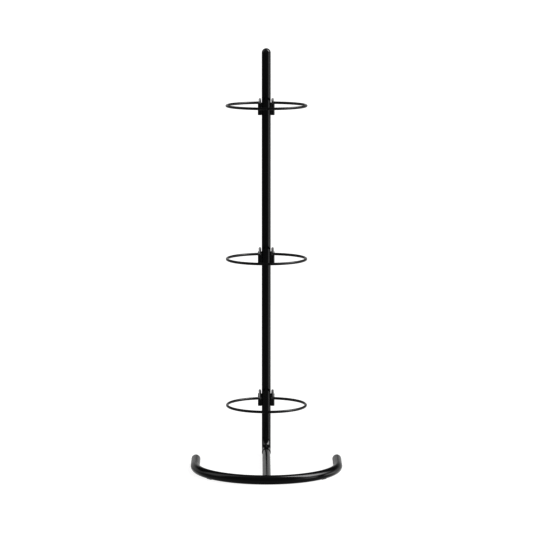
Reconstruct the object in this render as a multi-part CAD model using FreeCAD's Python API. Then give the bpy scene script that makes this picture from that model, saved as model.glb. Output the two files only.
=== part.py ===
"""Free-standing rack for three exercise balls.

A round post stands behind three level wire hoops.  It bends forward at the floor and slides
over a slimmer leg, which is welded to the middle of a U-shaped floor tube.  Each hoop is one
bent rod: its two ends run back past both sides of the post, turn down, and drop into a pair of
short socket tubes that are welded to the post, so a hoop lifts straight off.

Frame: +Z is up and Z = 0 is the floor, -Y is the open front of the rack, X = 0 is its plane of
symmetry, and the origin is the centre of its footprint.  Every length is in millimetres.
"""
import FreeCAD, Part
import math
import os

from FreeCAD import Vector

# Hoops: one bent steel rod each.
ROD_D = 11.0
HOOP_R = 173.5             # hoop's centre line
HOOP_TO_POST = 387.0       # hoop's axis to the post's axis
HOOP_CORNER_R = 14.0       # where the hoop turns back into an arm
ARM_DROP_R = 16.0          # where an arm turns down into its socket
ROD_TIP_CHAMFER = 1.0
HOOP_HEIGHTS = {"lower": 293.5, "middle": 944.5, "upper": 1618.5}

# Socket tubes on both sides of the post.
SOCKET_D = 17.5
SOCKET_BORE = 11.7
SOCKET_LENGTH = 56.0
SOCKET_RIM_CHAMFER = 0.6
ROD_IN_SOCKET = 50.0
WELD_R = 3.2               # round bead along both sides of a socket
WELD_BITE = 1.3            # how deep a bead runs into the post and the socket
WELD_END_GAP = 3.0         # bare length at both ends of a socket

# Post: three sections of one tube, joined over inner sleeves.
POST_D = 40.0
POST_WALL = 2.0
POST_TOP = 1846.0
FLOOR_BEND_R = 58.0
FOOT_STRAIGHT = 28.0       # level end of the post beyond its bend, which takes in the leg
JOINT_HEIGHTS = {"lower": 640.0, "upper": 1290.0}
JOINT_GAP = 0.3
SLEEVE_CLEARANCE = 0.15
SLEEVE_WALL = 2.5
SLEEVE_LENGTH = 130.0
BOLT_FROM_JOINT = 38.0

# Floor tube: a half circle with two short straight ends that point back.
BASE_D = 40.0
BASE_WALL = 2.0
BASE_R = 315.5
BASE_STRAIGHT = 152.0

# Leg: of the same tube as the inner sleeves, between the floor tube and the post.
LEG_WALL = 2.0
LEG_SCREW_FROM_RIM = 14.0      # screw through the post's level end, from its open rim

# Domed end plugs.
PLUG_DEPTH = 24.0
PLUG_SHELL = 2.5
PLUG_RIBS = 4
PLUG_RIB_HEIGHT = 0.9
PLUG_RIB_WIDTH = 2.0
PLUG_CLEARANCE = 0.05
SEAM_CHAMFER = 0.5

# Rubber floor pads with a push-in stem.
PAD_THICKNESS = 1.0        # under the floor tube
PAD_LENGTH = 32.0
PAD_WIDTH = 11.0
PAD_SADDLE = 2.5           # how far a pad climbs up its tube
PAD_CORNER_R = 3.0
STEM_D = 6.0
STEM_HOLE_D = 6.4
STEM_BARB_D = 9.0
STEM_TIP_D = 4.0
STEM_BARB_HEIGHT = 5.0
STEM_BARB_LIFT = 0.7       # barb's base above the lowest point inside the tube
PAD_FRONT_ANGLE = 52.0     # front pads, in degrees from straight ahead
PAD_REAR_SETBACK = 46.0    # rear pads of the floor tube, from its open ends
HEEL_PAD_FROM_RIM = 24.0   # pad under the leg, ahead of the post's open rim

# M6 button-head bolts, saddle washers, rivet nuts and the countersunk screw of the leg.
BOLT_D = 6.0
BOLT_LENGTH = 13.0
BOLT_HEAD_D = 10.5
BOLT_HEAD_HEIGHT = 3.3
BOLT_CROWN_D = 5.2
HEX_KEY = 4.0
HEX_DEPTH = 2.0
HEX_SIDES = 6
BOLT_HOLE_D = 6.6
WASHER_D = 12.0
WASHER_HEIGHT = 1.0
NUT_D = 8.9
NUT_HOLE_D = 9.1
NUT_LENGTH = 9.0
NUT_BORE = 6.1
NUT_SINK = 0.4             # nut's face below the outside of its sleeve
SCREW_HEAD_D = 11.0
SCREW_HEAD_HEIGHT = 2.5
SCREW_CLEARANCE = 0.2

# Two edges this close in height count as level with each other.
LEVEL_WITHIN = 0.001

# Places that follow from the sizes above.
SOCKET_R = SOCKET_D / 2
POST_R = POST_D / 2
BASE_TUBE_R = BASE_D / 2
BASE_Z = PAD_THICKNESS + BASE_TUBE_R
ARM_X = POST_R + SOCKET_R
SLEEVE_D = POST_D - 2 * POST_WALL - 2 * SLEEVE_CLEARANCE
FRONT_REACH = BASE_R + BASE_TUBE_R
BACK_REACH = HOOP_TO_POST + POST_R + WASHER_HEIGHT + BOLT_HEAD_HEIGHT
HOOP_Y = (FRONT_REACH - BACK_REACH) / 2
POST_Y = HOOP_Y + HOOP_TO_POST
BASE_FRONT_Y = HOOP_Y - BASE_R
BASE_END_Y = HOOP_Y + BASE_STRAIGHT
BEND_START_Y = POST_Y - FLOOR_BEND_R
RIM_Y = BEND_START_Y - FOOT_STRAIGHT

UP = Vector(0, 0, 1)
DOWN = Vector(0, 0, -1)
BACK = Vector(0, 1, 0)
SIDES = {"left": -1, "right": 1}


def line(start, end):
    """Straight edge between two points."""
    return Part.LineSegment(start, end).toShape()


def arc(start, middle, end):
    """Circular edge through three points."""
    return Part.Arc(start, middle, end).toShape()


def rod(edges, diameter):
    """Solid round rod along a path that starts with a straight edge."""
    start = edges[0].Vertexes[0].Point
    tangent = edges[0].tangentAt(edges[0].FirstParameter)
    section = Part.Wire(Part.makeCircle(diameter / 2, start, tangent))
    return Part.Wire(edges).makePipe(Part.Face(section))


def tube(edges, diameter, wall):
    """Round tube along a path that starts with a straight edge."""
    return rod(edges, diameter).cut(rod(edges, diameter - 2 * wall))


def disc(diameter, height, base=Vector(0, 0, 0), axis=UP):
    """Cylinder that starts at base and runs along axis."""
    return Part.makeCylinder(diameter / 2, height, base, axis)


def drill(point, outward, diameter, depth):
    """Cutter for one wall: it runs depth each way from a point on a tube's surface."""
    return disc(diameter, 2 * depth, point - outward * depth, outward)


def placed(shape, point, outward):
    """Copy of a shape made along +Z, moved to point and turned to face outward."""
    copy = shape.copy()
    copy.Placement = FreeCAD.Placement(point, FreeCAD.Rotation(UP, outward))
    return copy


def half_circle_point(angle_deg):
    """Point of the floor tube's centre line, by its angle from straight ahead."""
    angle = math.radians(angle_deg)
    return Vector(BASE_R * math.sin(angle), HOOP_Y - BASE_R * math.cos(angle), BASE_Z)


def base_path():
    """Centre line of the floor tube, from its left end round the front to its right end."""
    left = Vector(-BASE_R, HOOP_Y, BASE_Z)
    right = Vector(BASE_R, HOOP_Y, BASE_Z)
    setback = Vector(0, BASE_STRAIGHT, 0)
    return [
        line(left + setback, left),
        arc(left, half_circle_point(0), right),
        line(right, right + setback),
    ]


def lower_post_path():
    """Centre line of the lower section: back from its level rim, round the bend and up."""
    bend_start = Vector(0, BEND_START_Y, BASE_Z)
    bend_end = Vector(0, POST_Y, BASE_Z + FLOOR_BEND_R)
    slant = FLOOR_BEND_R * math.sqrt(0.5)
    bend_middle = Vector(0, BEND_START_Y + slant, BASE_Z + FLOOR_BEND_R - slant)
    return [
        line(Vector(0, RIM_Y, BASE_Z), bend_start),
        arc(bend_start, bend_middle, bend_end),
        line(bend_end, Vector(0, POST_Y, JOINT_HEIGHTS["lower"] - JOINT_GAP / 2)),
    ]


def leg_path():
    """Centre line of the leg, from the floor tube's centre line to the start of the post's bend."""
    return [line(half_circle_point(0), Vector(0, BEND_START_Y, BASE_Z))]


def pad_places():
    """Name of each floor pad: point under its tube, direction of that tube and its diameter."""
    places = {}
    for side, sign in SIDES.items():
        angle = math.radians(PAD_FRONT_ANGLE * sign)
        front = half_circle_point(PAD_FRONT_ANGLE * sign)
        along = Vector(math.cos(angle), math.sin(angle), 0)
        places["front_pad_" + side] = (front, along, BASE_D)
        rear = Vector(sign * BASE_R, BASE_END_Y - PAD_REAR_SETBACK, BASE_Z)
        places["rear_pad_" + side] = (rear, BACK, BASE_D)
    heel = Vector(0, RIM_Y - HEEL_PAD_FROM_RIM, BASE_Z)
    places["heel_pad"] = (heel, BACK, SLEEVE_D)
    return places


def bolt_points():
    """Point at the back of the post's surface of each bolt."""
    points = []
    for height in JOINT_HEIGHTS.values():
        for offset in (-BOLT_FROM_JOINT, BOLT_FROM_JOINT):
            points.append(Vector(0, POST_Y + POST_R, height + offset))
    return points


def leg_screw_point():
    """Point on the underside of the post's level end where the leg's screw goes in."""
    return Vector(0, RIM_Y + LEG_SCREW_FROM_RIM, BASE_Z - POST_R)


def with_bolt_holes(shape, diameter):
    """Shape with a hole at each bolt that reaches its wall."""
    for point in bolt_points():
        shape = shape.cut(drill(point, BACK, diameter, POST_WALL + 2 * SLEEVE_WALL))
    return shape


def with_stem_holes(shape, diameter):
    """Shape with a hole for the stem of each pad under a tube of that diameter."""
    for centre, _, tube_d in pad_places().values():
        if tube_d == diameter:
            bottom = centre + DOWN * (tube_d / 2)
            shape = shape.cut(drill(bottom, DOWN, STEM_HOLE_D, 2 * POST_WALL))
    return shape


def base_tube():
    """U-shaped floor tube."""
    return with_stem_holes(tube(base_path(), BASE_D, BASE_WALL), BASE_D)


def leg():
    """Slim tube coped and welded to the middle of the floor tube, which slides into the post."""
    body = tube(leg_path(), SLEEVE_D, LEG_WALL).cut(rod(base_path(), BASE_D))
    body = body.cut(drill(leg_screw_point(), DOWN, NUT_HOLE_D, POST_WALL + 2 * LEG_WALL))
    return with_stem_holes(body, SLEEVE_D)


def lower_post():
    """Level end, floor bend and lower part of the post in one tube."""
    body = with_bolt_holes(tube(lower_post_path(), POST_D, POST_WALL), BOLT_HOLE_D)
    seat = countersunk(BOLT_HOLE_D, SCREW_HEAD_D + 2 * SCREW_CLEARANCE)
    return body.cut(placed(seat, leg_screw_point(), DOWN))


def post_section(bottom, top):
    """Straight section of the post."""
    section = tube([line(Vector(0, POST_Y, bottom), Vector(0, POST_Y, top))], POST_D, POST_WALL)
    return with_bolt_holes(section, BOLT_HOLE_D)


def post_sleeve(joint_height):
    """Inner sleeve that joins two sections of the post."""
    bottom = Vector(0, POST_Y, joint_height - SLEEVE_LENGTH / 2)
    sleeve = tube([line(bottom, bottom + UP * SLEEVE_LENGTH)], SLEEVE_D, SLEEVE_WALL)
    return with_bolt_holes(sleeve, NUT_HOLE_D)


def domed_plug(tube_d, wall):
    """Hollow plug for a tube's end: a half-sphere on a ribbed insert, with its rim at Z = 0."""
    radius = tube_d / 2
    rib_r = radius - wall - PLUG_CLEARANCE
    core_r = rib_r - PLUG_RIB_HEIGHT
    dome = Part.makeSphere(radius, Vector(0, 0, 0), UP, 0, 90, 360)
    seam = dome.Edges
    rim = [edge for edge in seam if abs(edge.BoundBox.ZMax) < LEVEL_WITHIN and edge.Length > radius]
    plug = dome.makeChamfer(SEAM_CHAMFER, rim)
    plug = plug.fuse(disc(2 * core_r, PLUG_DEPTH, DOWN * PLUG_DEPTH))
    pitch = PLUG_DEPTH / PLUG_RIBS
    for index in range(PLUG_RIBS):
        low = -PLUG_DEPTH + index * pitch + (pitch - PLUG_RIB_WIDTH) / 2
        plug = plug.fuse(Part.makeCone(core_r, rib_r, PLUG_RIB_WIDTH, Vector(0, 0, low)))
    hollow_r = core_r - PLUG_SHELL
    plug = plug.cut(disc(2 * hollow_r, PLUG_DEPTH, DOWN * PLUG_DEPTH))
    return plug.cut(Part.makeSphere(hollow_r))


def socket(sign, hoop_height):
    """Socket tube on one side of the post, with its two weld beads."""
    top = hoop_height - ARM_DROP_R
    bottom = top - SOCKET_LENGTH
    centre = Vector(sign * ARM_X, POST_Y, bottom)
    body = disc(SOCKET_D, SOCKET_LENGTH, centre)
    body = body.makeChamfer(SOCKET_RIM_CHAMFER, [edge for edge in body.Edges if len(edge.Vertexes) == 1])
    for bead in weld_beads(sign, bottom + WELD_END_GAP, SOCKET_LENGTH - 2 * WELD_END_GAP):
        body = body.fuse(bead)
    bore = disc(SOCKET_BORE, SOCKET_LENGTH, centre)
    post = disc(POST_D, SOCKET_LENGTH, Vector(0, POST_Y, bottom))
    return body.cut(bore).cut(post)


def weld_beads(sign, bottom, length):
    """Two upright round beads in the grooves between a socket and the post."""
    to_post = POST_R + WELD_R - WELD_BITE
    to_socket = SOCKET_R + WELD_R - WELD_BITE
    x = (to_post ** 2 - to_socket ** 2 + ARM_X ** 2) / (2 * ARM_X)
    y = math.sqrt(to_post ** 2 - x ** 2)
    beads = []
    for side in (-1, 1):
        foot = Vector(sign * x, POST_Y + side * y, bottom + WELD_R)
        straight = length - 2 * WELD_R
        bead = disc(2 * WELD_R, straight, foot)
        bead = bead.fuse(Part.makeSphere(WELD_R, foot))
        beads.append(bead.fuse(Part.makeSphere(WELD_R, foot + UP * straight)))
    return beads


def hoop_path(height):
    """Centre line of one hoop: up out of the left socket, round the hoop and down on the right."""
    corner_x = ARM_X + HOOP_CORNER_R
    corner_reach = HOOP_R + HOOP_CORNER_R
    corner_y = math.sqrt(corner_reach ** 2 - corner_x ** 2)
    on_hoop = Vector(corner_x, corner_y, 0) * (HOOP_R / corner_reach)
    corner_angle = math.atan2(corner_y, corner_x)
    half_turn = (math.pi - corner_angle) / 2 + math.pi / 2
    corner_middle = Vector(
        corner_x + HOOP_CORNER_R * math.cos(half_turn + corner_angle),
        corner_y + HOOP_CORNER_R * math.sin(half_turn + corner_angle),
        0,
    )
    slant = ARM_DROP_R * math.sqrt(0.5)
    drop_middle = Vector(ARM_X, HOOP_TO_POST - ARM_DROP_R + slant, slant - ARM_DROP_R)

    def at(point, sign):
        return Vector(sign * point.x, HOOP_Y + point.y, height + point.z)

    tip = Vector(ARM_X, HOOP_TO_POST, -ARM_DROP_R - ROD_IN_SOCKET)
    drop_low = Vector(ARM_X, HOOP_TO_POST, -ARM_DROP_R)
    drop_high = Vector(ARM_X, HOOP_TO_POST - ARM_DROP_R, 0)
    arm_front = Vector(ARM_X, corner_y, 0)
    front = Vector(0, -HOOP_R, 0)
    return [
        line(at(tip, -1), at(drop_low, -1)),
        arc(at(drop_low, -1), at(drop_middle, -1), at(drop_high, -1)),
        line(at(drop_high, -1), at(arm_front, -1)),
        arc(at(arm_front, -1), at(corner_middle, -1), at(on_hoop, -1)),
        arc(at(on_hoop, -1), at(front, 1), at(on_hoop, 1)),
        arc(at(on_hoop, 1), at(corner_middle, 1), at(arm_front, 1)),
        line(at(arm_front, 1), at(drop_high, 1)),
        arc(at(drop_high, 1), at(drop_middle, 1), at(drop_low, 1)),
        line(at(drop_low, 1), at(tip, 1)),
    ]


def hoop(height):
    """One hoop with its arms and its two turned-down ends."""
    body = rod(hoop_path(height), ROD_D)
    tip_z = height - ARM_DROP_R - ROD_IN_SOCKET
    tips = [edge for edge in body.Edges if abs(edge.BoundBox.ZMax - tip_z) < LEVEL_WITHIN]
    return body.makeChamfer(ROD_TIP_CHAMFER, tips)


def floor_pad(centre, along, tube_d):
    """Rubber pad that fits up against a floor tube, with its barbed stem inside the tube."""
    across = UP.cross(along)
    height = PAD_SADDLE + centre.z - tube_d / 2
    corner = centre - along * (PAD_LENGTH / 2) - across * (PAD_WIDTH / 2)
    block = Part.makeBox(PAD_LENGTH, PAD_WIDTH, height)
    upright = [edge for edge in block.Edges if edge.BoundBox.ZLength > height / 2]
    block = block.makeFillet(PAD_CORNER_R, upright)
    turn = FreeCAD.Rotation(Vector(1, 0, 0), along)
    block.Placement = FreeCAD.Placement(Vector(corner.x, corner.y, 0), turn)
    barb_z = centre.z - tube_d / 2 + BASE_WALL + STEM_BARB_LIFT
    root = Vector(centre.x, centre.y, PAD_THICKNESS / 2)
    stem = disc(STEM_D, barb_z - root.z, root)
    shoulder = Vector(centre.x, centre.y, barb_z)
    barb = Part.makeCone(STEM_BARB_D / 2, STEM_TIP_D / 2, STEM_BARB_HEIGHT, shoulder)
    saddle = rod(base_path(), BASE_D) if tube_d == BASE_D else rod(leg_path(), tube_d)
    return block.cut(saddle).fuse(stem).fuse(barb)


def hex_socket(top):
    """Cutter for a hexagonal key socket that opens at height top."""
    reach = HEX_KEY / math.sqrt(3)
    corners = []
    for index in range(HEX_SIDES + 1):
        angle = 2 * math.pi * index / HEX_SIDES
        corners.append(Vector(reach * math.cos(angle), reach * math.sin(angle), top))
    return Part.Face(Part.makePolygon(corners)).extrude(DOWN * HEX_DEPTH)


def button_bolt():
    """Button-head bolt along +Z, with the underside of its head at Z = 0."""
    rim_r = BOLT_HEAD_D / 2
    crown_r = BOLT_CROWN_D / 2
    drop = (rim_r ** 2 - crown_r ** 2 - BOLT_HEAD_HEIGHT ** 2) / (2 * BOLT_HEAD_HEIGHT)
    ball = Part.makeSphere(math.hypot(rim_r, drop), DOWN * drop)
    head = ball.common(disc(BOLT_HEAD_D, BOLT_HEAD_HEIGHT)).cut(hex_socket(BOLT_HEAD_HEIGHT))
    return head.fuse(disc(BOLT_D, BOLT_LENGTH, DOWN * BOLT_LENGTH))


def countersunk(shank_d, head_d):
    """Countersunk head and shank along +Z, with the head's face at Z = 0."""
    head = Part.makeCone(shank_d / 2, head_d / 2, SCREW_HEAD_HEIGHT, DOWN * SCREW_HEAD_HEIGHT)
    return head.fuse(disc(shank_d, BOLT_LENGTH, DOWN * BOLT_LENGTH))


def leg_screw():
    """Countersunk screw that holds the leg in the post, flush with the underside."""
    screw = countersunk(BOLT_D, SCREW_HEAD_D).cut(hex_socket(0))
    return placed(screw, leg_screw_point(), DOWN)


def joint_bolts():
    """The post's four bolts, standing on their washers."""
    bolt = button_bolt()
    return Part.makeCompound([placed(bolt, point + BACK * WASHER_HEIGHT, BACK) for point in bolt_points()])


def saddle_washers():
    """The bolts' washers: flat on top and hollowed to the post underneath."""
    washers = []
    blank = disc(WASHER_D, WASHER_HEIGHT + POST_WALL, DOWN * POST_WALL).cut(
        disc(BOLT_HOLE_D, POST_D, DOWN * POST_R))
    for point in bolt_points():
        post = disc(POST_D, POST_D, point - BACK * POST_R - UP * POST_R)
        washers.append(placed(blank, point, BACK).cut(post))
    return Part.makeCompound(washers)


def rivet_nuts():
    """The rivet nuts of all bolts and of the leg's screw, set in the walls of the inner tubes."""
    places = [(point, BACK) for point in bolt_points()]
    places.append((leg_screw_point(), DOWN))
    nut = disc(NUT_D, NUT_LENGTH, DOWN * NUT_LENGTH)
    nut = nut.cut(disc(NUT_BORE, NUT_LENGTH, DOWN * NUT_LENGTH))
    sink = POST_WALL + SLEEVE_CLEARANCE + NUT_SINK
    return Part.makeCompound([placed(nut, point - outward * sink, outward) for point, outward in places])


def all_parts():
    """Every node of the rack by name."""
    half_gap = JOINT_GAP / 2
    lower_joint = JOINT_HEIGHTS["lower"]
    upper_joint = JOINT_HEIGHTS["upper"]
    dome_base = POST_TOP - POST_R
    base_plug = domed_plug(BASE_D, BASE_WALL)
    parts = {
        "base_tube": base_tube(),
        "leg": leg(),
        "leg_screw": leg_screw(),
        "lower_post": lower_post(),
        "middle_post": post_section(lower_joint + half_gap, upper_joint - half_gap),
        "upper_post": post_section(upper_joint + half_gap, dome_base),
        "lower_sleeve": post_sleeve(lower_joint),
        "upper_sleeve": post_sleeve(upper_joint),
        "top_plug": placed(domed_plug(POST_D, POST_WALL), Vector(0, POST_Y, dome_base), UP),
        "joint_bolts": joint_bolts(),
        "saddle_washers": saddle_washers(),
        "rivet_nuts": rivet_nuts(),
    }
    for side, sign in SIDES.items():
        parts["base_plug_" + side] = placed(base_plug, Vector(sign * BASE_R, BASE_END_Y, BASE_Z), BACK)
        for level, height in HOOP_HEIGHTS.items():
            parts[level + "_socket_" + side] = socket(sign, height)
    for level, height in HOOP_HEIGHTS.items():
        parts[level + "_hoop"] = hoop(height)
    for name, (centre, along, tube_d) in pad_places().items():
        parts[name] = floor_pad(centre, along, tube_d)
    return parts


os.makedirs("parts", exist_ok=True)
for node, solid in all_parts().items():
    solid.exportStep("parts/" + node + ".step")
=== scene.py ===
"""Looks of the exercise ball rack: gloss black powder coat, weld beads, moulded plugs, rubber pads.

Every length is in metres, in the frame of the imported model.  +Z is up, Z = 0 is the floor and -Y
is the open front of the rack.
"""

import math

import bmesh
import bpy
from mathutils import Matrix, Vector


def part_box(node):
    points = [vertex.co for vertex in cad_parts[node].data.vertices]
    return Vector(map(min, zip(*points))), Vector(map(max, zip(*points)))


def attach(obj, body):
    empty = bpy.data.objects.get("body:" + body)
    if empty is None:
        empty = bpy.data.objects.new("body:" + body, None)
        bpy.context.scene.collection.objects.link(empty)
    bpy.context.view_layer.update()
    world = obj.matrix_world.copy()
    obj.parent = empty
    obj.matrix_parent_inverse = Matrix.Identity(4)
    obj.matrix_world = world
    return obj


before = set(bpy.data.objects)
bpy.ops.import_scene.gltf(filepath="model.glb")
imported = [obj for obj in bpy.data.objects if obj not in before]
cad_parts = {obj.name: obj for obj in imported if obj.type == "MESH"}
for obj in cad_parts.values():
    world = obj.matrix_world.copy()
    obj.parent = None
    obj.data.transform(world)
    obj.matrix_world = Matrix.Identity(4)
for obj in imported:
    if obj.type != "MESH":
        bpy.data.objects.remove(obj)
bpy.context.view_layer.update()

LEVELS = ("lower", "middle", "upper")
SIDES = {"left": -1, "right": 1}

BACK = Vector((0, 1, 0))

# Socket welds: two upright beads beside each socket, in its grooves with the post.
SOCKET_RADIUS = 0.00875
SOCKET_WELD_RADIUS = 0.0033
SOCKET_WELD_BITE = 0.0014        # how deep a bead runs into the post and the socket
SOCKET_WELD_END_GAP = 0.0029     # bare length at both ends of a socket

# Leg weld: one bead round the leg, in its groove with the floor tube.
LEG_WELD_RADIUS = 0.0025
LEG_WELD_SINK = 0.5              # how deep it lies where the surfaces are square, in its own radii
LEG_WELD_FLAT_SINK = 0.8         # how much deeper it lies where they run level with each other
LEG_WELD_FACING = math.radians(45)   # its ripples trail here, between the leg's side and the back

# Ripples of every bead.
RIPPLE_PITCH = 0.0024
RIPPLE_HEIGHT = 0.0004
RIPPLE_ATTACK = 0.6              # below 1, a ripple rises faster than it falls
RIPPLE_LAG = 0.4                 # how far a ripple's middle trails its edges, in pitches
RIPPLE_WANDER = ((0.12, 900), (0.08, 2300))   # drifts of the pitch: share of it, radians per metre
RINGS_PER_RIPPLE = 7
BEAD_SEGMENTS = 32

# Camera, placed from the vertical axis of the hoops.
CAMERA_DISTANCE = 13.095
CAMERA_HEIGHT = 2.6478
CAMERA_AZIMUTH = math.radians(-0.17)
CAMERA_PITCH = math.radians(7.555)
CAMERA_LENS = 203.1              # millimetres, on a sensor 36 mm wide
CAMERA_REACH = 150.0

# Studio floor.
FLOOR_RADIUS = 60.0
FLOOR_SEGMENTS = 128
FLOOR_GLOW = 0.93
FLOOR_DARK = (0.1, 0.1, 0.1)
FLOOR_LIGHT = (0.115, 0.115, 0.115)

# Studio room.  A panel is bright between the two middle angles of each direction, in degrees, and
# fades to nothing at the outer two.  Azimuth is 0 towards the front of the rack and 90 to the
# right, seen from the front.  A panel that reaches straight behind the rack runs on past 180.
ROOM_GLOW = 0.025
VIEW_GAMMA = 0.75                # darkens what lies between black and white, as in a catalogue
PANELS = (
    # Softbox on the right.
    {"azimuth": (54, 74, 86, 132), "elevation": (8, 36, 68, 86), "strength": 9.0},
    # Two strips below it, with a gap between them.
    {"azimuth": (54, 70, 80, 86), "elevation": (-20, -6, -1, 6), "strength": 1.9},
    {"azimuth": (95, 100, 112, 134), "elevation": (-20, -6, -1, 6), "strength": 1.25},
    # Soft glow round each of the strips.
    {"azimuth": (38, 54, 78, 86), "elevation": (-24, -8, 0, 20), "strength": 0.7},
    {"azimuth": (95, 104, 120, 150), "elevation": (-24, -8, 0, 20), "strength": 0.7},
    # Weaker softbox on the left.
    {"azimuth": (-128, -104, -88, -66), "elevation": (-5, 32, 58, 80), "strength": 1.5},
    # Backdrop: its right half, and the lower and upper parts of its left half.
    {"azimuth": (112, 150, 181, 182), "elevation": (-60, -14, 2, 24), "strength": 0.56},
    {"azimuth": (-182, -181, -150, -112), "elevation": (-60, -22, -9, -5), "strength": 0.4},
    {"azimuth": (-182, -181, -130, -95), "elevation": (-9, -1, 12, 26), "strength": 0.56},
    # Front of the room.
    {"azimuth": (-100, -60, 45, 70), "elevation": (-16, 0, 40, 60), "strength": 0.12},
    # Ceiling and floor, all the way round.
    {"azimuth": (-181, -180, 180, 181), "elevation": (46, 64, 90, 91), "strength": 0.25},
    {"azimuth": (-181, -180, 180, 181), "elevation": (-84, -64, -16, -4), "strength": 0.3},
)


# ---------------------------------------------------------------- shader helpers

# Colour sockets of a Mix node, which has others of the same names for plain numbers.
MIX_FIRST_COLOUR = 6
MIX_SECOND_COLOUR = 7
MIX_COLOUR_RESULT = 2


class Nodes:
    """Short calls for the maths nodes of one node tree."""

    def __init__(self, tree):
        self.nodes = tree.nodes
        self.links = tree.links

    def split(self, vector):
        """X, Y and Z of a vector."""
        node = self.nodes.new("ShaderNodeSeparateXYZ")
        self.links.new(vector, node.inputs["Vector"])
        return [node.outputs[axis] for axis in "XYZ"]

    def remap(self, value, low, high, to_low=0.0, to_high=1.0):
        """Smooth step of value from low to high, as a number from to_low to to_high."""
        node = self.nodes.new("ShaderNodeMapRange")
        node.interpolation_type = "SMOOTHSTEP"
        node.inputs["From Min"].default_value = low
        node.inputs["From Max"].default_value = high
        node.inputs["To Min"].default_value = to_low
        node.inputs["To Max"].default_value = to_high
        self.links.new(value, node.inputs["Value"])
        return node.outputs["Result"]

    def combine(self, operation, first, second=0.0):
        """Result of a maths operation on two values; the second may be a plain number."""
        node = self.nodes.new("ShaderNodeMath")
        node.operation = operation
        self.links.new(first, node.inputs[0])
        if isinstance(second, (int, float)):
            node.inputs[1].default_value = second
        else:
            self.links.new(second, node.inputs[1])
        return node.outputs["Value"]

    def window(self, value, rise_from, rise_to, fall_from, fall_to):
        """1 between rise_to and fall_from, with soft edges outside them."""
        rise = self.remap(value, rise_from, rise_to)
        fall = self.remap(value, fall_to, fall_from)
        return self.combine("MULTIPLY", rise, fall)


class Surface(Nodes):
    """A node material with one Principled shader, and short calls for the nodes that feed it."""

    def __init__(self, name, **sockets):
        self.material = bpy.data.materials.new(name)
        self.material.use_nodes = True
        super().__init__(self.material.node_tree)
        self.shader = self.nodes["Principled BSDF"]
        for socket, value in sockets.items():
            self.shader.inputs[socket.replace("_", " ")].default_value = value
        self.coordinates = self.nodes.new("ShaderNodeTexCoord")
        self.geometry = self.nodes.new("ShaderNodeNewGeometry")

    def place(self, stretch):
        """Position in the frame, in metres, with each axis multiplied by stretch."""
        scale = self.nodes.new("ShaderNodeMapping")
        scale.inputs["Scale"].default_value = stretch
        self.links.new(self.coordinates.outputs["Object"], scale.inputs["Vector"])
        return scale.outputs["Vector"]

    def height_share(self):
        """0 at the node's lowest point and 1 at its highest."""
        return self.split(self.coordinates.outputs["Generated"])[2]

    def facing_up(self):
        """The surface normal's upward part, from -1 to 1."""
        return self.split(self.geometry.outputs["Normal"])[2]

    def noise(self, size, detail, stretch=(1, 1, 1)):
        """Noise from 0 to 1 whose features are about size metres across."""
        node = self.nodes.new("ShaderNodeTexNoise")
        node.inputs["Scale"].default_value = 1 / size
        node.inputs["Detail"].default_value = detail
        self.links.new(self.place(stretch), node.inputs["Vector"])
        return node.outputs["Fac"]

    def blend_colour(self, share, first, second):
        """Colour between two others, each a tuple or a socket; share is how much of the second."""
        node = self.nodes.new("ShaderNodeMix")
        node.data_type = "RGBA"
        self.links.new(share, node.inputs["Factor"])
        for index, colour in ((MIX_FIRST_COLOUR, first), (MIX_SECOND_COLOUR, second)):
            if isinstance(colour, tuple):
                node.inputs[index].default_value = (*colour, 1)
            else:
                self.links.new(colour, node.inputs[index])
        return node.outputs[MIX_COLOUR_RESULT]

    def feed(self, socket, value):
        """Drives one socket of the shader."""
        self.links.new(value, self.shader.inputs[socket])

    def bumps(self, *layers):
        """Stacks height layers, each a (value, depth in metres) pair, into the shader's normal."""
        normal = None
        for value, depth in layers:
            node = self.nodes.new("ShaderNodeBump")
            node.inputs["Distance"].default_value = depth
            self.links.new(value, node.inputs["Height"])
            if normal is not None:
                self.links.new(normal, node.inputs["Normal"])
            normal = node.outputs["Normal"]
        self.feed("Normal", normal)


# ---------------------------------------------------------------- materials

# Powder coat.
COAT_BLACK = (0.006, 0.006, 0.0066)
COAT_DUSTY = (0.0115, 0.0114, 0.0115)
BARE_STEEL = (0.36, 0.35, 0.33)
DUST_ROUGHNESS = 0.06            # added to the paint's own where dust lies
RUBBED_ROUGHNESS = 0.22          # added to it where the steel shows
WAVE_DEPTH = 0.00006
PEEL_DEPTH = 0.00002

# Where the paint is rubbed, as shares of a node's height.  A hoop's sockets reach up to 0.70.
RIM_RUB_NONE = 0.984
RIM_RUB_FULL = 0.994
ROD_RUB_NONE = 0.735
ROD_RUB_FULL = 0.69

# Plugs, floor pads, fasteners and sleeves.
PLASTIC_CLEAN = (0.0085, 0.0085, 0.009)
PLASTIC_SMUDGED = (0.0115, 0.0115, 0.012)
PLASTIC_SINK_DEPTH = 0.00005
PLASTIC_SKIN_DEPTH = 0.000006
RUBBER_CLEAN = (0.017, 0.017, 0.018)
RUBBER_DUSTY = (0.075, 0.072, 0.068)
RUBBER_GRAIN_DEPTH = 0.00005
OXIDE_DARK = (0.022, 0.022, 0.025)
OXIDE_RUBBED = (0.085, 0.083, 0.08)
OXIDE_GRAIN_DEPTH = 0.00001
CLEAR_ZINC = (0.62, 0.63, 0.65)
YELLOW_ZINC = (0.66, 0.6, 0.42)
ZINC_CLOUD = 0.72                # brightness of the plating's darker clouds
ZINC_LINE_DEPTH = 0.000012


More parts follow.
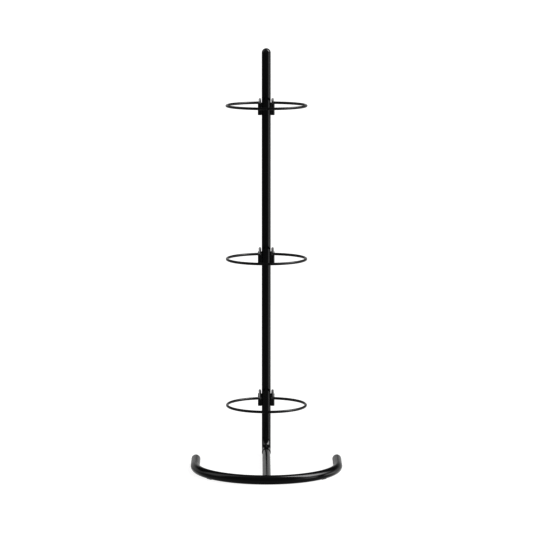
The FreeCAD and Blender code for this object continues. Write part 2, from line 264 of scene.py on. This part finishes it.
def powder_coat(name, worn=None):
    """Gloss black powder coat with orange peel, faint dust and, where asked, rubbed paint."""
    coat = Surface(name, IOR=1.5)
    peel = coat.noise(size=0.0026, detail=1.5)
    waviness = coat.noise(size=0.030, detail=1.0)
    handling = coat.noise(size=0.075, detail=4.0)
    upward = coat.remap(coat.facing_up(), low=0.35, high=0.95)
    specks = coat.remap(coat.noise(size=0.014, detail=6.0), low=0.42, high=0.68)
    dust = coat.combine("MULTIPLY", upward, specks)
    colour = coat.blend_colour(dust, COAT_BLACK, COAT_DUSTY)
    gloss = coat.remap(handling, low=0.35, high=0.7, to_low=0.085, to_high=0.15)
    roughness = coat.combine("ADD", gloss, coat.combine("MULTIPLY", dust, DUST_ROUGHNESS))
    if worn is not None:
        rubbed = worn(coat)
        colour = coat.blend_colour(rubbed, colour, BARE_STEEL)
        rougher = coat.combine("MULTIPLY", rubbed, RUBBED_ROUGHNESS)
        roughness = coat.combine("ADD", roughness, rougher)
        coat.feed("Metallic", rubbed)
    coat.feed("Base Color", colour)
    coat.feed("Roughness", roughness)
    coat.bumps((waviness, WAVE_DEPTH), (peel, PEEL_DEPTH))
    return coat.material


def rim_wear(coat):
    """Paint rubbed off a socket's top rim by the hoop going in and out."""
    rim = coat.remap(coat.height_share(), RIM_RUB_NONE, RIM_RUB_FULL)
    patches = coat.remap(coat.noise(size=0.0022, detail=5.0), low=0.50, high=0.60)
    return coat.combine("MULTIPLY", rim, patches)


def rod_end_wear(coat):
    """Paint rubbed in streaks off a hoop's turned-down ends, where they slide in the sockets."""
    in_socket = coat.remap(coat.height_share(), ROD_RUB_NONE, ROD_RUB_FULL)
    grain = coat.noise(size=0.0018, detail=5.0, stretch=(1, 1, 0.18))
    streaks = coat.remap(grain, low=0.53, high=0.64)
    return coat.combine("MULTIPLY", in_socket, streaks)


def plug_plastic():
    """Black polyethylene with a fine moulded skin and shallow sink marks."""
    plastic = Surface("plug_plastic", IOR=1.51)
    skin = plastic.noise(size=0.0006, detail=3.0)
    sink = plastic.noise(size=0.012, detail=1.0)
    smudge = plastic.noise(size=0.02, detail=4.0)
    plastic.feed("Base Color", plastic.blend_colour(smudge, PLASTIC_CLEAN, PLASTIC_SMUDGED))
    gloss = plastic.remap(smudge, low=0.3, high=0.75, to_low=0.17, to_high=0.26)
    plastic.feed("Roughness", gloss)
    plastic.bumps((sink, PLASTIC_SINK_DEPTH), (skin, PLASTIC_SKIN_DEPTH))
    return plastic.material


def pad_rubber():
    """Matte black rubber, greyed by floor dust towards its foot."""
    rubber = Surface("pad_rubber", IOR=1.5, Specular_IOR_Level=0.3)
    grain = rubber.noise(size=0.0009, detail=4.0)
    blotch = rubber.noise(size=0.009, detail=5.0)
    foot = rubber.remap(rubber.height_share(), low=0.4, high=0.0)
    dusty = rubber.combine("MULTIPLY", foot, rubber.remap(blotch, low=0.35, high=0.65))
    rubber.feed("Base Color", rubber.blend_colour(dusty, RUBBER_CLEAN, RUBBER_DUSTY))
    matte = rubber.remap(blotch, low=0.3, high=0.7, to_low=0.62, to_high=0.82)
    rubber.feed("Roughness", matte)
    rubber.bumps((grain, RUBBER_GRAIN_DEPTH))
    return rubber.material


def black_oxide():
    """Black-oxide steel of the bolts and washers, with brighter rubbed spots."""
    steel = Surface("black_oxide", Metallic=0.85)
    grain = steel.noise(size=0.0008, detail=5.0)
    rubbed = steel.remap(steel.noise(size=0.003, detail=4.0), low=0.55, high=0.75)
    steel.feed("Base Color", steel.blend_colour(rubbed, OXIDE_DARK, OXIDE_RUBBED))
    satin = steel.remap(grain, low=0.3, high=0.7, to_low=0.3, to_high=0.48)
    steel.feed("Roughness", satin)
    steel.bumps((grain, OXIDE_GRAIN_DEPTH))
    return steel.material


def zinc_plate(name, tint):
    """Zinc-plated steel, slightly clouded, with fine draw lines that run upright."""
    zinc = Surface(name, Metallic=1.0)
    lines = zinc.noise(size=0.0012, detail=4.0, stretch=(1, 1, 0.04))
    cloud = zinc.noise(size=0.015, detail=3.0)
    darker = tuple(channel * ZINC_CLOUD for channel in tint)
    zinc.feed("Base Color", zinc.blend_colour(cloud, darker, tint))
    satin = zinc.remap(lines, low=0.3, high=0.7, to_low=0.26, to_high=0.42)
    zinc.feed("Roughness", satin)
    zinc.bumps((lines, ZINC_LINE_DEPTH))
    return zinc.material


def paint(nodes, material):
    """Gives carried-over CAD nodes their material."""
    for node in nodes:
        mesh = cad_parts[node].data
        mesh.materials.clear()
        mesh.materials.append(material)


def paint_cad_nodes():
    """Every CAD node gets its finish; the frame's own paint is returned for the welds."""
    tube_paint = powder_coat("tube_powder_coat")
    paint(["base_tube", "leg"] + [level + "_post" for level in LEVELS], tube_paint)
    paint([level + "_hoop" for level in LEVELS], powder_coat("rod_powder_coat", rod_end_wear))
    sockets = [level + "_socket_" + side for level in LEVELS for side in SIDES]
    paint(sockets, powder_coat("socket_powder_coat", rim_wear))
    paint(["top_plug", "base_plug_left", "base_plug_right"], plug_plastic())
    pads = [place + "_pad_" + side for place in ("front", "rear") for side in SIDES]
    paint(pads + ["heel_pad"], pad_rubber())
    paint(["joint_bolts", "saddle_washers", "leg_screw"], black_oxide())
    paint(["lower_sleeve", "upper_sleeve"], zinc_plate("zinc_sleeve", CLEAR_ZINC))
    paint(["rivet_nuts"], zinc_plate("yellow_zinc_nut", YELLOW_ZINC))
    return tube_paint


# ---------------------------------------------------------------- weld beads

def ripple(travelled, outward_share):
    """Height of a bead's ripples after a length of weld; they trail in the bead's middle."""
    wander = sum(share * math.sin(travelled * rate) for share, rate in RIPPLE_WANDER)
    phase = (travelled / RIPPLE_PITCH + wander - RIPPLE_LAG * outward_share) % 1.0
    return RIPPLE_HEIGHT * math.sin(math.pi * phase ** RIPPLE_ATTACK)


def ring_angles():
    """Angle of each point of one ring round a bead."""
    return [2 * math.pi * segment / BEAD_SEGMENTS for segment in range(BEAD_SEGMENTS)]


def add_strip(mesh, rings, closed):
    """Faces between neighbouring rings, and between the last and the first of a closed bead."""
    followers = rings[1:] + rings[:1] if closed else rings[1:]
    for near, far in zip(rings, followers):
        for segment in range(BEAD_SEGMENTS):
            after = (segment + 1) % BEAD_SEGMENTS
            mesh.faces.new((near[segment], near[after], far[after], far[segment]))


def add_bead(mesh, x, y, low, high, outward):
    """One rippled upright bead, closed at both ends; outward is the angle that it faces."""
    ring_count = round((high - low) / RIPPLE_PITCH * RINGS_PER_RIPPLE)
    rings = []
    for step in range(1, ring_count):
        height = low + (high - low) * step / ring_count
        from_end = min(height - low, high - height, SOCKET_WELD_RADIUS) / SOCKET_WELD_RADIUS
        rounding = math.sqrt(1 - (1 - from_end) ** 2)
        ring = []
        for angle in ring_angles():
            radius = rounding * (SOCKET_WELD_RADIUS + ripple(height, math.cos(angle - outward)))
            point = (x + radius * math.cos(angle), y + radius * math.sin(angle), height)
            ring.append(mesh.verts.new(point))
        rings.append(ring)
    add_strip(mesh, rings, closed=False)
    bottom = mesh.verts.new((x, y, low))
    top = mesh.verts.new((x, y, high))
    for segment in range(BEAD_SEGMENTS):
        after = (segment + 1) % BEAD_SEGMENTS
        mesh.faces.new((bottom, rings[0][after], rings[0][segment]))
        mesh.faces.new((top, rings[-1][segment], rings[-1][after]))


def socket_weld(level, side, material):
    """Both beads that hold one socket to the post, as one piece on the stand."""
    post_low, post_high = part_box("upper_post")
    socket_low, socket_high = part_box(level + "_socket_" + side)
    post_radius = (post_high.x - post_low.x) / 2
    post_y = (post_low.y + post_high.y) / 2
    spacing = post_radius + SOCKET_RADIUS
    to_post = post_radius + SOCKET_WELD_RADIUS - SOCKET_WELD_BITE
    to_socket = SOCKET_RADIUS + SOCKET_WELD_RADIUS - SOCKET_WELD_BITE
    x = (to_post ** 2 - to_socket ** 2 + spacing ** 2) / (2 * spacing)
    y = math.sqrt(to_post ** 2 - x ** 2)
    low = socket_low.z + SOCKET_WELD_END_GAP
    high = socket_high.z - SOCKET_WELD_END_GAP
    mesh = bmesh.new()
    for face in (-1, 1):
        add_bead(mesh, SIDES[side] * x, post_y + face * y, low, high, face * math.pi / 2)
    finish_weld(mesh, level + "_" + side + "_weld", material)


def leg_weld(material):
    """Bead round the leg where it is coped to the middle of the floor tube.

    Each ring starts from the corner where the two surfaces meet.  Its centre lies as far off one
    surface as off the other, and sinks deeper where they run nearly level, at the leg's top and
    bottom, so that the bead stays above the floor.
    """
    base_low, base_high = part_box("base_tube")
    base_radius = (base_high.z - base_low.z) / 2
    middle_z = (base_high.z + base_low.z) / 2
    middle_y = base_low.y + base_radius
    bend_radius = base_high.x - base_radius
    leg_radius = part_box("leg")[1].x
    ring_count = round(2 * math.pi * leg_radius / RIPPLE_PITCH * RINGS_PER_RIPPLE)
    mesh = bmesh.new()
    rings = []
    for step in range(ring_count):
        turn = 2 * math.pi * step / ring_count
        off_leg = Vector((math.sin(turn), 0, math.cos(turn)))
        setback = math.sqrt(base_radius ** 2 - (leg_radius * off_leg.z) ** 2)
        curve = bend_radius - math.sqrt(bend_radius ** 2 - (leg_radius * off_leg.x) ** 2)
        corner = Vector((0, middle_y + setback + curve, middle_z)) + off_leg * leg_radius
        off_base = Vector((0, setback, leg_radius * off_leg.z)) / base_radius
        flatness = off_leg.dot(off_base)
        rise = LEG_WELD_RADIUS * (1 - LEG_WELD_SINK - LEG_WELD_FLAT_SINK * flatness)
        centre = corner + (off_leg + off_base) * rise / (1 + flatness)
        ring = []
        for angle in ring_angles():
            trail = math.cos(angle - LEG_WELD_FACING)
            radius = LEG_WELD_RADIUS + ripple(turn * leg_radius, trail)
            direction = math.cos(angle) * off_leg + math.sin(angle) * BACK
            ring.append(mesh.verts.new(centre + radius * direction))
        rings.append(ring)
    add_strip(mesh, rings, closed=True)
    finish_weld(mesh, "leg_weld", material)


def finish_weld(mesh, name, material):
    """Turns a bmesh into a smooth piece that rides on the stand and takes the frame's finish."""
    data = bpy.data.meshes.new(name)
    mesh.to_mesh(data)
    mesh.free()
    for polygon in data.polygons:
        polygon.use_smooth = True
    data.materials.append(material)
    piece = bpy.data.objects.new(name, data)
    bpy.context.collection.objects.link(piece)
    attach(piece, "stand")


# ---------------------------------------------------------------- studio

def hoop_axis():
    """Y of the vertical line through the centres of the hoops."""
    low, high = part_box("upper_hoop")
    return low.y + (high.x - low.x) / 2


def add_floor():
    """Wide plain floor that glows enough to stay white and doesn't show in reflections."""
    glow = {"Emission_Color": (1, 1, 1, 1), "Emission_Strength": FLOOR_GLOW}
    white = Surface("floor_white", Roughness=0.7, **glow)
    white.material.cycles.emission_sampling = "NONE"
    tone = white.noise(size=0.9, detail=2.0)
    white.feed("Base Color", white.blend_colour(tone, FLOOR_DARK, FLOOR_LIGHT))
    mesh = bmesh.new()
    bmesh.ops.create_circle(mesh, cap_ends=True, segments=FLOOR_SEGMENTS, radius=FLOOR_RADIUS)
    data = bpy.data.meshes.new("floor")
    mesh.to_mesh(data)
    mesh.free()
    data.materials.append(white.material)
    floor = bpy.data.objects.new("floor", data)
    floor.visible_glossy = False
    bpy.context.collection.objects.link(floor)


def add_world():
    """A dim room with softboxes, drawn by direction; the camera itself sees plain white."""
    world = bpy.data.worlds.new("studio")
    world.use_nodes = True
    bpy.context.scene.world = world
    world.node_tree.nodes.clear()
    tree = Nodes(world.node_tree)
    direction = tree.nodes.new("ShaderNodeTexCoord")
    x, y, z = tree.split(direction.outputs["Generated"])
    azimuth = tree.combine("ARCTAN2", x, tree.combine("MULTIPLY", y, -1.0))
    elevation = tree.combine("ARCSINE", z)
    rays = tree.nodes.new("ShaderNodeLightPath")
    strength = tree.combine("MAXIMUM", rays.outputs["Is Camera Ray"], ROOM_GLOW)
    for panel in PANELS:
        across = tree.window(azimuth, *map(math.radians, panel["azimuth"]))
        upward = tree.window(elevation, *map(math.radians, panel["elevation"]))
        shape = tree.combine("MULTIPLY", across, upward)
        light = tree.combine("MULTIPLY", shape, panel["strength"])
        strength = tree.combine("ADD", strength, light)
    room = tree.nodes.new("ShaderNodeBackground")
    room.inputs["Color"].default_value = (1, 1, 1, 1)
    output = tree.nodes.new("ShaderNodeOutputWorld")
    tree.links.new(strength, room.inputs["Strength"])
    tree.links.new(room.outputs["Background"], output.inputs["Surface"])


def add_camera():
    """Long lens, a little above the rack, aimed along +Y and slightly down."""
    camera = bpy.data.cameras.new("camera")
    camera.lens = CAMERA_LENS
    camera.clip_end = CAMERA_REACH
    view = bpy.data.objects.new("camera", camera)
    view.location = (
        CAMERA_DISTANCE * math.sin(CAMERA_AZIMUTH),
        hoop_axis() - CAMERA_DISTANCE * math.cos(CAMERA_AZIMUTH),
        CAMERA_HEIGHT,
    )
    view.rotation_euler = (math.pi / 2 - CAMERA_PITCH, 0, CAMERA_AZIMUTH)
    bpy.context.collection.objects.link(view)
    bpy.context.scene.camera = view


add_camera()
stand_paint = paint_cad_nodes()
for weld_level in LEVELS:
    for weld_side in SIDES:
        socket_weld(weld_level, weld_side, stand_paint)
leg_weld(stand_paint)
add_floor()
add_world()
bpy.context.scene.view_settings.view_transform = "Standard"
bpy.context.scene.view_settings.gamma = VIEW_GAMMA
